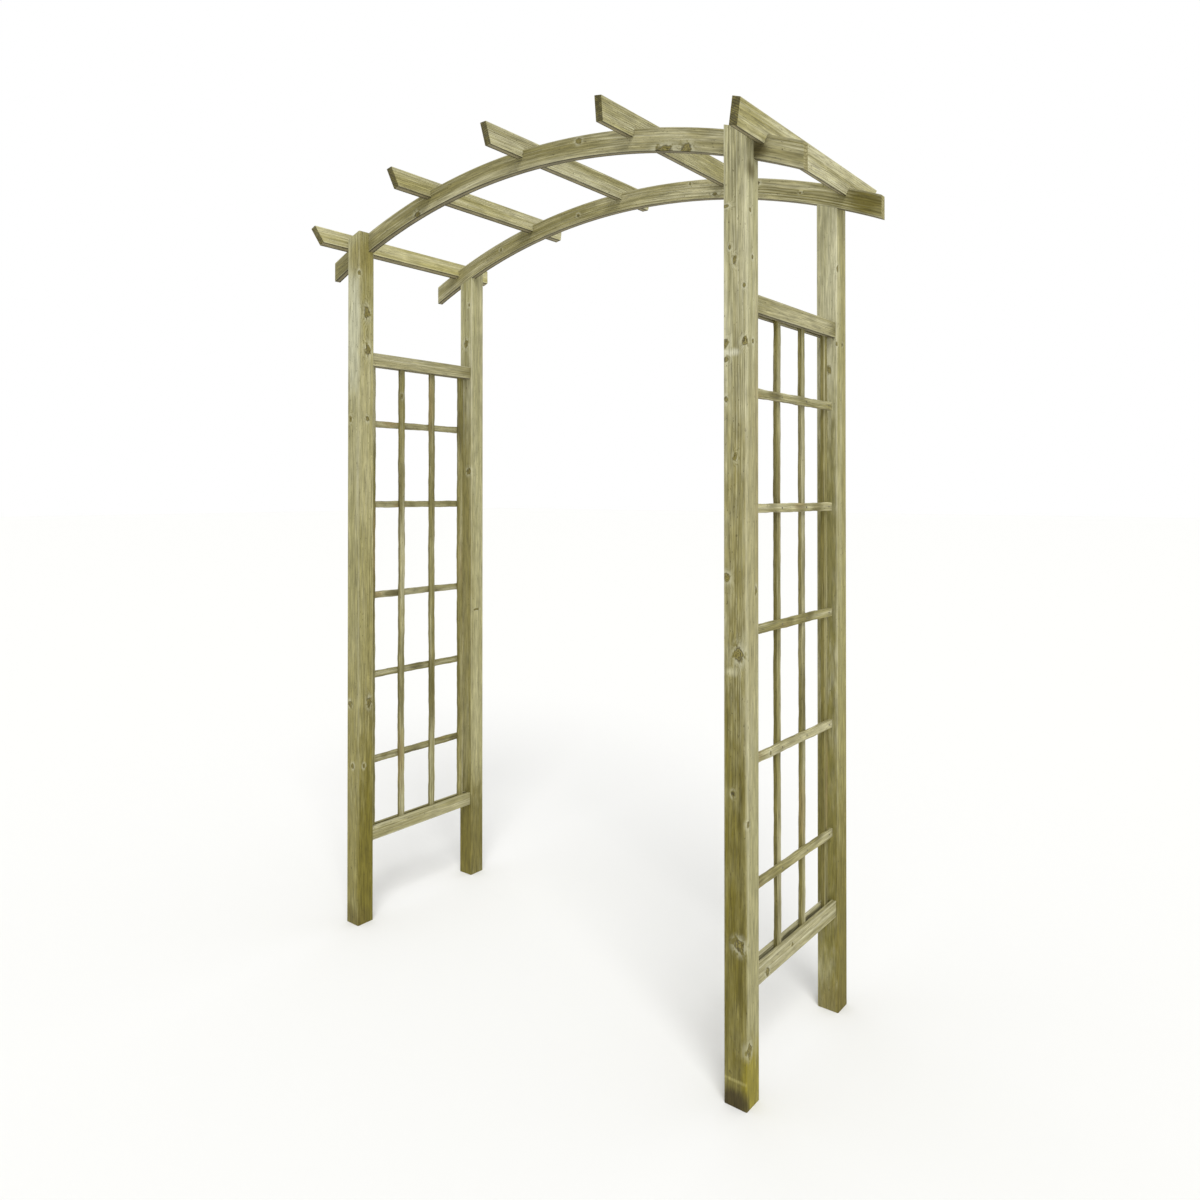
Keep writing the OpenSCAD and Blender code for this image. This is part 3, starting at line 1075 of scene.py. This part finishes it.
@dataclass(frozen=True)
class ArchShape:
    """The circle that the beams and rafters share, with the frame's own sizes in metres.

    Attributes:
        centre_z: height of the circle's centre.
        under_r, depth: radius of the beams' underside, and their depth on the radius.
        lap: how far a rafter is let down over a beam, half of it cut from each.
        rafters: how many rafters there are.
    """

    centre_z: float = 0.218
    under_r: float = 2.122
    depth: float = 0.058
    lap: float = 0.022
    rafters: int = 5

    @property
    def mid_r(self) -> float:
        """Returns the radius halfway up the beams."""
        return self.under_r + self.depth / 2

    @property
    def top_r(self) -> float:
        """Returns the radius of the beams' upper edge."""
        return self.under_r + self.depth

    @property
    def seat_r(self) -> float:
        """Returns the radius at which a slot's floor meets a notch's ceiling."""
        return self.top_r - self.lap / 2

    @property
    def tail_x(self) -> float:
        """Returns where the tails are cut plumb."""
        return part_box("front_arch_beam")[1][0]

    @property
    def angles(self) -> Array:
        """Returns each rafter's angle from the crown, from the middle of its box."""
        middles = [middle_of(f"rafter_{number}") for number in range(1, self.rafters + 1)]
        return np.array([math.atan2(spot[0], spot[2] - self.centre_z) for spot in middles])


# Knots on each beam's front face: X, height, and half-axes, in metres.
BEAM_KNOTS = {
    End.FRONT: ((0.492, 2.2800, 0.026, 0.009, 0.014), (0.562, 2.2700, 0.015, 0.009, 0.012),
                (0.217, 2.3730, 0.009, 0.006, 0.007), (-0.443, 2.3000, 0.012, 0.007, 0.010)),
    End.BACK: ((0.274, 2.371, 0.004, 0.004, 0.004), (0.362, 2.321, 0.009, 0.005, 0.004),
               (0.507, 2.323, 0.007, 0.005, 0.005), (0.641, 2.267, 0.004, 0.004, 0.003),
               (-0.173, 2.360, 0.006, 0.005, 0.005), (-0.537, 2.303, 0.006, 0.005, 0.004)),
}
# Stains and patches of painted shade on the same faces: X, height, half-axes along X and Z, colour and share.
BEAM_STAINS_AND_SHADE = {
    # The first front patch darkens the tail beside the post as painted shadow of the last rafter.
    End.FRONT: ((0.757, 2.232, 0.036, 0.050, "#4F4622", 0.80), (0.600, 2.310, 0.040, 0.030, "#8A8149", 0.40),
                (-0.760, 2.260, 0.050, 0.060, "#8D8552", 0.50)),
    End.BACK: ((0.838, 2.222, 0.062, 0.075, "#5F5619", 0.80), (-0.760, 2.260, 0.050, 0.060, "#8D8552", 0.50)),
}
BEAM_SHADES = {End.FRONT: 0.88, End.BACK: 0.96}


@dataclass
class ArchBeams:
    """The two curved beams, slotted for the rafters.

    Attributes:
        shape: the circle they follow.
        slot_half: half the width of a rafter's slot.
        plumb_cut: what stands for a plumb-cut end among the angles.
        span: the plain stations' reach either way from the crown, in whole degrees.
        spare: how near a slot's wall a plain station may come, as an angle.
        stain_deep: how far each stain and patch of painted shade reaches in from its face.
        pine: their finish.
    """

    shape: ArchShape
    slot_half: float = 0.0117
    plumb_cut: float = 1.0
    span: int = 23
    spare: float = 0.004
    stain_deep: float = 0.04
    pine: TreatedPine = TreatedPine(pale="#B7B18C", olive="#898253", end="#B4AC7C", end_line="#857C4C",
                                    pith=(0.06, 0.02), ring=7 * MM, contrast=0.8)

    def place(self, y_back: float, y_front: float) -> Callable[[Array, Array, Array], Array]:
        """Makes the rule that lays a beam out.

        A point lies on its radius at its angle from the crown. At the two ends, which are cut plumb,
        its X is the tail's and its height follows from the radius.

        Args:
            y_back: the beam's back face.
            y_front: its front face.

        Returns:
            The rule for arrays of angle, radius and side.
        """
        def rule(angle: Array, radius: Array, side: Array) -> Array:
            """Returns the places of points at these angles, radii and sides."""
            plumb = np.abs(angle) == self.plumb_cut
            x = np.where(plumb, np.sign(angle) * self.shape.tail_x, radius * np.sin(angle))
            z = self.shape.centre_z + np.sqrt(radius ** 2 - x ** 2)
            return np.stack([x, y_back + (y_front - y_back) * side, z], axis=-1)
        return rule

    def board(self, y_back: float, y_front: float) -> CutBoard:
        """Sets out one beam's cells: a degree or so along the arch, with a slot at each rafter.

        Args:
            y_back: the beam's back face.
            y_front: its front face.

        Returns:
            The board.
        """
        shape, rafters = self.shape, self.shape.angles
        half = self.slot_half / shape.seat_r
        # The last station before a plumb cut stops short of it all the way up.
        last = math.asin((shape.tail_x - 4 * MM) / shape.top_r) - 0.002
        cuts = np.concatenate([rafters - half, rafters + half])
        plain = np.radians(np.arange(-self.span, self.span + 1.0))
        plain = plain[np.min(np.abs(plain[:, None] - cuts), axis=1) > self.spare]
        angles = np.sort(np.concatenate([[-last, last], plain, cuts]))
        angles = np.concatenate([[-self.plumb_cut], angles, [self.plumb_cut]])
        levels = np.array([shape.under_r, shape.under_r + 18 * MM, shape.under_r + 33 * MM,
                           shape.seat_r, shape.top_r])
        mid = (angles[:-1] + angles[1:]) / 2
        kept = np.ones((len(mid), len(levels) - 1), dtype=bool)
        kept[:, -1] = np.min(np.abs(mid[:, None] - rafters), axis=1) > half
        return CutBoard(angles, levels, kept, self.place(y_back, y_front))

    def bend_grain(self, mesh: bpy.types.Mesh, middle_y: float) -> None:
        """Gives each point its place along the bent grain.

        Across, it is the distance from the beam's middle radius and from its middle plane. Along, it
        is the angle from the crown times the middle radius.

        Args:
            mesh: the beam's mesh.
            middle_y: where the beam's middle plane lies.
        """
        spots = np.empty(len(mesh.vertices) * 3)
        mesh.vertices.foreach_get("co", spots)
        x, y, z = spots.reshape(-1, 3).T
        up = z - self.shape.centre_z
        mid_r = self.shape.mid_r
        grain = np.stack([np.hypot(x, up) - mid_r, y - middle_y, np.arctan2(x, up) * mid_r], axis=1)
        mesh.attributes.new("grain", "FLOAT_VECTOR", "POINT").data.foreach_set("vector", grain.ravel())

    def make(self) -> None:
        """Builds and dresses both beams."""
        for end in End:
            name = f"{end.word}_arch_beam"
            (_, face, _), (_, back, _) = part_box(name)
            piece = self.board(back, face).build(f"{name}_timber")
            self.bend_grain(piece.data, (face + back) / 2)
            knots = tuple(Knot((x, face, z), tuple(size)) for x, z, *size in BEAM_KNOTS[end])
            stains = tuple(Stain((x, face, z), (wide, self.stain_deep, tall), colour, share)
                           for x, z, wide, tall, colour, share in BEAM_STAINS_AND_SHADE[end])
            half = (self.shape.depth / 2, (back - face) / 2)
            board = Board(Vector(), (1, 0, 0), bent=True, half=half, shade=BEAM_SHADES[end], knots=knots,
                          stains=stains)
            dress(piece, self.pine.build(f"{name}_pine", board))
            stand_for(piece, name)


# How light each rafter is, from the left.
RAFTER_SHADES = (1.16, 1.02, 0.98, 1.0, 1.14)


@dataclass
class Rafters:
    """The boards on edge across both beams, with raked ends and a notch over each beam.

    Attributes:
        shape: the circle that they stand on.
        height, thickness: height on the radius, and thickness.
        rake: angle of the end cuts, back from square.
        beam_in, beam_out: distance from the middle to the near and far edges of a notch.
        pine: their finish.
    """

    shape: ArchShape
    height: float = 0.058
    thickness: float = 0.023
    rake: float = math.radians(19)
    beam_in: float = 0.2228
    beam_out: float = 0.2452
    pine: TreatedPine = TreatedPine(pale="#C3BE9A", olive="#A09964", end="#6B6330", end_line="#2F2812",
                                    pith=(0.02, 0.075), ring=4.6 * MM, rough=0.55)

    @property
    def half_top(self) -> float:
        """Returns half the length of the upper edge."""
        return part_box("rafter_1")[1][1]

    @property
    def half_foot(self) -> float:
        """Returns half the length of the lower edge: the rake takes its share of the height off."""
        return self.half_top - self.height * math.tan(self.rake)

    def place(self, angle: float) -> Callable[[Array, Array, Array], Array]:
        """Makes the rule that lays a rafter out on its radius.

        Across the notches a station is a plain distance along Y. An end station leans out as it
        rises, from the lower edge's half length to the upper edge's.

        Args:
            angle: the rafter's angle from the crown.

        Returns:
            The rule for arrays of station, height above the lower edge, and side.
        """
        out = np.array([math.sin(angle), 0, math.cos(angle)])
        over = np.array([math.cos(angle), 0, -math.sin(angle)])
        foot = np.array([0, 0, self.shape.centre_z]) + out * (self.shape.top_r - self.shape.lap)
        half_foot, half_top = self.half_foot, self.half_top

        def rule(station: Array, height: Array, side: Array) -> Array:
            """Returns the places of points at these stations, heights and sides."""
            lean = (half_top - half_foot) * height / self.height
            y = station + np.where(np.abs(station) >= half_foot, np.sign(station) * lean, 0)
            return (foot + height[..., None] * out + ((side - 0.5) * self.thickness)[..., None] * over
                    + y[..., None] * np.array([0, 1, 0]))
        return rule

    def make(self) -> None:
        """Builds and dresses every rafter."""
        plain = np.concatenate([np.linspace(-0.18, 0.18, 7), [-0.31, 0.31]])
        cuts = np.array([self.half_foot, self.beam_in, self.beam_out])
        stations = np.sort(np.concatenate([-cuts, plain, cuts]))
        levels = np.array([0, self.shape.lap / 2, 0.028, 0.043, self.height])
        mid = np.abs(stations[:-1] + stations[1:]) / 2
        kept = np.ones((len(mid), len(levels) - 1), dtype=bool)
        kept[:, 0] = (mid < self.beam_in) | (mid > self.beam_out)
        for number, angle in enumerate(self.shape.angles, start=1):
            name = f"rafter_{number}"
            piece = CutBoard(stations, levels, kept, self.place(float(angle))).build(f"{name}_timber")
            turn = (Matrix.Rotation(float(angle), 3, "Y") @ Matrix.Rotation(-math.pi / 2, 3, "X")).to_euler()
            board = Board(middle_of(name), (0, 1, 0), tuple(turn), half=(self.thickness / 2, self.height / 2),
                          shade=RAFTER_SHADES[number - 1])
            dress(piece, self.pine.build(f"{name}_pine", board))
            stand_for(piece, name)


# Upright and level laths in each panel.
LATH_COLUMNS = 4
LATH_ROWS = 5
# Damp, damp, bare brown and damp again: what the sawn laths have gone to in patches.
LATH_STAINS = ("#5E5729", "#6B6333", "#9A8757", "#5A5228")


@dataclass
class Lattice:
    """One side panel: two grooved rails, and sawn laths that cross between them.

    Attributes:
        side: which side it stands on.
        rail_half: half a rail's thickness and height.
        groove_depth: depth of the rails' grooves.
        upright_wave, level_wave: how far the edges of the laths wander.
        rail_pine, lath_pine, dark_pine: finishes of the rails, of the laths, and of the uprights
            beside the posts.
    """

    side: Side
    rail_half: tuple[float, float] = (18 * MM, 22 * MM)
    groove_depth: float = 14 * MM
    upright_wave: float = 2.1 * MM
    level_wave: float = 1.6 * MM
    rail_pine: TreatedPine = TreatedPine(pale="#B9B38C", olive="#8D8654", pith=(0.03, 0.04), rough=0.6)
    lath_pine: TreatedPine = TreatedPine(pale="#BFB991", olive="#8A8350", pith=(0.02, 0.03),
                                         ring=3.4 * MM, rough=0.8)
    dark_pine: TreatedPine = TreatedPine(pale="#A8A06C", olive="#7D763F", pith=(0.02, 0.03),
                                         ring=3.4 * MM, rough=0.8)

    def rails(self) -> None:
        """Dresses the two rails, which keep their frame nodes: damp at the back, with painted shade along the
        groove.
        """
        for level in ("bottom", "top"):
            name = f"{self.side.word}_{level}_rail"
            knots: tuple[Knot, ...] = ()
            if name == "right_bottom_rail":
                knots = (face_knot(0, 745, -172, 276, 9, 1.0), face_knot(0, 745, -40, 290, 4, 1.0))
            spot = middle_of(name)
            low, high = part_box(name)
            floor = high[2] - self.groove_depth if level == "bottom" else low[2] + self.groove_depth
            stains = (
                Stain((spot.x, high[1], spot.z), (0.03, 0.07, 0.04), "#6A6330",
                      0.65 if level == "top" else 0.2),
                # Painted shade along the groove's floor.
                Stain((spot.x, spot.y, floor), (0.008, 0.9, 0.020), "#2E2812", 0.90),
            )
            board = Board(spot, (0, 1, 0), Lay.LEVEL, half=self.rail_half, shade=0.95, knots=knots,
                          stains=stains)
            dress_node(name, self.rail_pine.build(f"{name}_pine", board))
            LOG.info("%s: dressed", name)

    @staticmethod
    def weather(name: str, axis: int) -> tuple[Stain, ...]:
        """Chooses where a sawn lath has gone dark or brown.

        Args:
            name: the lath.
            axis: the axis it lies along.

        Returns:
            Four patches at seeded places along it.
        """
        rng = np.random.default_rng(seed_of(name) + 7)
        low, high = (np.array(corner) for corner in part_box(name))
        stains = []
        for tone in LATH_STAINS:
            spot = rng.uniform(low, high)
            size = np.full(3, 0.014)
            size[axis] = rng.uniform(0.05, 0.12) * (high[axis] - low[axis])
            stains.append(Stain(tuple(spot), tuple(size), tone, float(rng.uniform(0.35, 0.7))))
        return tuple(stains)

    def uprights(self) -> None:
        """Builds the upright laths, flat on the side where the level ones are nailed."""
        for column in range(1, LATH_COLUMNS + 1):
            name = f"{self.side.word}_upright_lath_{column}"
            low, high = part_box(name)
            bar = SawnBar(low, high, 2, self.upright_wave, self.side.value, quiet=0.03)
            piece = bar.build(f"{name}_timber")
            pine = self.dark_pine if column in (1, LATH_COLUMNS) else self.lath_pine
            knots: tuple[Knot, ...] = ()
            if name == "left_upright_lath_2":
                knots = (face_knot(0, high[0] / MM, low[1] / MM + 9, 1757, 5, 1.7),)
            # The narrow sides that look out of the front are painted darker, as shade.
            board = Board(middle_of(name), (0, 0, 1), shade=0.94, knots=knots, stains=self.weather(name, 2),
                          faces=(FaceTone((0, -1, 0), "#696027", 0.65),))
            dress(piece, pine.build(f"{name}_pine", board))
            stand_for(piece, name)

    def levels(self) -> None:
        """Builds the level laths, flat on the side that lies on the uprights."""
        for row in range(1, LATH_ROWS + 1):
            name = f"{self.side.word}_level_lath_{row}"
            low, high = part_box(name)
            bar = SawnBar(low, high, 1, self.level_wave, -self.side.value, quiet=0.012)
            piece = bar.build(f"{name}_timber")
            knots: tuple[Knot, ...] = ()
            if name == "right_level_lath_2":
                knots = (face_knot(0, high[0] / MM, -150, 792, 4.5, 1.1),)
            # The left panel's level laths are painted darker, as shade: seen from inside, they lie behind its
            # uprights.
            shade = 1.03 if self.side is Side.RIGHT else 0.86
            board = Board(middle_of(name), (0, 1, 0), Lay.LEVEL, shade=shade, knots=knots,
                          stains=self.weather(name, 1))
            dress(piece, self.lath_pine.build(f"{name}_pine", board))
            stand_for(piece, name)

    def make(self) -> None:
        """Builds the whole panel."""
        self.rails()
        self.uprights()
        self.levels()


@dataclass
class Fixings:
    """Screws and nails whose heads show, and the pins and dowels inside.

    Attributes:
        shape: the arch's circle.
        rafter_height: height of a rafter on its radius.
        pair_gap: distance between the two screws of a pair.
        zinc, beech: finishes of the steel and of the dowels.
    """

    shape: ArchShape
    rafter_height: float = 0.058
    pair_gap: float = 0.028
    zinc: DullZinc = DullZinc()
    beech: PlainBeech = PlainBeech()

    @staticmethod
    def screw(length: float) -> Array:
        """Returns a countersunk screw's outline in metres, foot to dished head, for a length in mm."""
        return np.array([[0, -length], [0.9, 4 - length], [2.5, 10 - length], [2.5, -2.9], [5, -0.5],
                         [4.9, -0.15], [2.4, -0.05], [1.6, -1.1], [0, -1.3]]) * MM

    @staticmethod
    def nail() -> Array:
        """Returns an 18 mm nail's outline in metres, from its foot to its low domed head."""
        return np.array([[0, -18], [0.5, -17], [1, -15], [1, -1], [2.4, -0.4], [2.5, 0.15], [1.6, 0.45],
                         [0, 0.5]]) * MM

    def arch_screws(self) -> None:
        """Builds the pairs of screws from the beams into the posts, heads on the beams' inner faces."""
        mid_r = self.shape.mid_r
        angle = math.asin(middle_of("front_right_post")[0] / mid_r)
        inner_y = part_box("back_right_post")[0][1]
        spots = []
        for side in Side:
            out = Vector((side.value * math.sin(angle), 0, math.cos(angle)))
            over = Vector((math.cos(angle), 0, -side.value * math.sin(angle)))
            for end in End:
                for step in (-1, 1):
                    spot = Vector((0, end.value * inner_y, self.shape.centre_z)) + out * mid_r
                    spots.append((spot + over * (step * self.pair_gap / 2), Vector((0, -end.value, 0))))
        piece = turned_copies("arch_screw_heads", self.screw(50), spots, 16)
        dress(piece, self.zinc.build("arch_screw_zinc"))
        stand_for(piece, "arch_screws")

    def rafter_screws(self) -> None:
        """Builds the screws down through the rafters into the beams."""
        spots = []
        top_r = self.shape.top_r - self.shape.lap + self.rafter_height
        beam_y = middle_of("back_arch_beam")[1]
        for angle in self.shape.angles:
            out = Vector((math.sin(angle), 0, math.cos(angle)))
            for end in End:
                spot = Vector((0, end.value * beam_y, self.shape.centre_z)) + out * top_r
                spots.append((spot, out))
        piece = turned_copies("rafter_screw_heads", self.screw(80), spots, 16)
        dress(piece, self.zinc.build("rafter_screw_zinc"))
        stand_for(piece, "rafter_screws")

    def lath_nails(self) -> None:
        """Builds one nail at each crossing of the laths, its head on the panel's outer face."""
        for side in Side:
            spots = []
            for row in range(1, LATH_ROWS + 1):
                low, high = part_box(f"{side.word}_level_lath_{row}")
                face = high[0] if side is Side.RIGHT else low[0]
                for column in range(1, LATH_COLUMNS + 1):
                    y = middle_of(f"{side.word}_upright_lath_{column}")[1]
                    spots.append((Vector((face, y, (low[2] + high[2]) / 2)), Vector((side.value, 0, 0))))
            piece = turned_copies(f"{side.word}_lath_nail_heads", self.nail(), spots, 12)
            dress(piece, self.zinc.build(f"{side.word}_nail_zinc"))
            stand_for(piece, f"{side.word}_lath_nails")

    def make(self) -> None:
        """Builds the fixings that show, and dresses the ones inside."""
        self.arch_screws()
        self.rafter_screws()
        self.lath_nails()
        for side in Side:
            dress_node(f"{side.word}_groove_pins", self.zinc.build(f"{side.word}_pin_zinc"))
        dress_node("rail_dowels", self.beech.build("dowel_beech"))


@dataclass
class Studio:
    """A plain pale floor, soft light and the camera.

    Attributes:
        spot, yaw, pitch: where the camera stands, and its turn about Z and up from level.
        lens, shift_y: its focal length in mm, and how far its frame is moved.
        surround: strength of the light that comes from all round.
        sun, sun_from: strength of the key light, and the direction it comes from.
        floor_half, floor_drop: half the floor's width, and how far it lies under the feet.
    """

    spot: tuple[float, float, float] = (1.7748, -2.1217, 1.4207)
    yaw: float = 0.66890
    pitch: float = 0.00605
    lens: float = 27.10
    shift_y: float = -0.0937
    surround: float = 0.75
    sun: float = 1.6
    sun_from: tuple[float, float, float] = (0.58, -0.58, 0.95)
    floor_half: float = 60.0
    floor_drop: float = 0.2 * MM

    def camera(self) -> None:
        """Sets up the camera."""
        data = bpy.data.cameras.new("camera")
        data.sensor_width = 36.0
        data.lens = self.lens
        data.shift_y = self.shift_y
        data.clip_end = 200.0
        camera = bpy.data.objects.new("camera", data)
        camera.location = self.spot
        camera.rotation_euler = (math.pi / 2 + self.pitch, 0, self.yaw)
        bpy.context.scene.collection.objects.link(camera)
        bpy.context.scene.camera = camera

    def floor(self) -> None:
        """Lays a wide pale floor just under the feet."""
        corner = np.array([[-1, -1], [1, -1], [1, 1], [-1, 1]]) * self.floor_half
        points = np.column_stack([corner, np.full(len(corner), -self.floor_drop)])
        piece = mesh_object("floor", points, [[0, 1, 2, 3]])
        material = fresh_material("studio_floor")
        graph = NodeGraph(material.node_tree)
        shader = graph.add("BsdfPrincipled", {"Base Color": linear("#F2F2F0"), "Roughness": 0.9,
                                              "Specular IOR Level": 0.1})
        graph.add("OutputMaterial", (shader,))
        dress(piece, material)

    def light(self) -> None:
        """Adds an even pale surround, which looks white itself, and one wide soft key."""
        world = bpy.data.worlds.new("studio")
        bpy.context.scene.world = world
        world.use_nodes = True
        graph = NodeGraph(world.node_tree)
        seen = graph.add("LightPath", out="Is Camera Ray")
        level = graph.add("MapRange", (seen, 0.0, 1.0, self.surround, 1.0), interpolation_type="LINEAR")
        white = graph.add("Background", {"Color": (1, 1, 1, 1), "Strength": level})
        graph.add("OutputWorld", (white,))
        light = bpy.data.lights.new("key", "SUN")
        light.energy = self.sun
        light.angle = math.radians(25)
        key = bpy.data.objects.new("key", light)
        key.rotation_euler = Vector(self.sun_from).to_track_quat("Z", "Y").to_euler()
        bpy.context.scene.collection.objects.link(key)

    def make(self) -> None:
        """Builds the studio and chooses plain colour handling."""
        self.camera()
        self.floor()
        self.light()
        bpy.context.scene.view_settings.view_transform = "Standard"


def main() -> None:
    logging.basicConfig(level=logging.INFO, format="%(name)s: %(message)s")
    shape = ArchShape()
    Studio().make()
    Posts().make()
    ArchBeams(shape).make()
    Rafters(shape).make()
    for side in Side:
        Lattice(side).make()
    Fixings(shape).make()


if __name__ == "__main__":
    main()
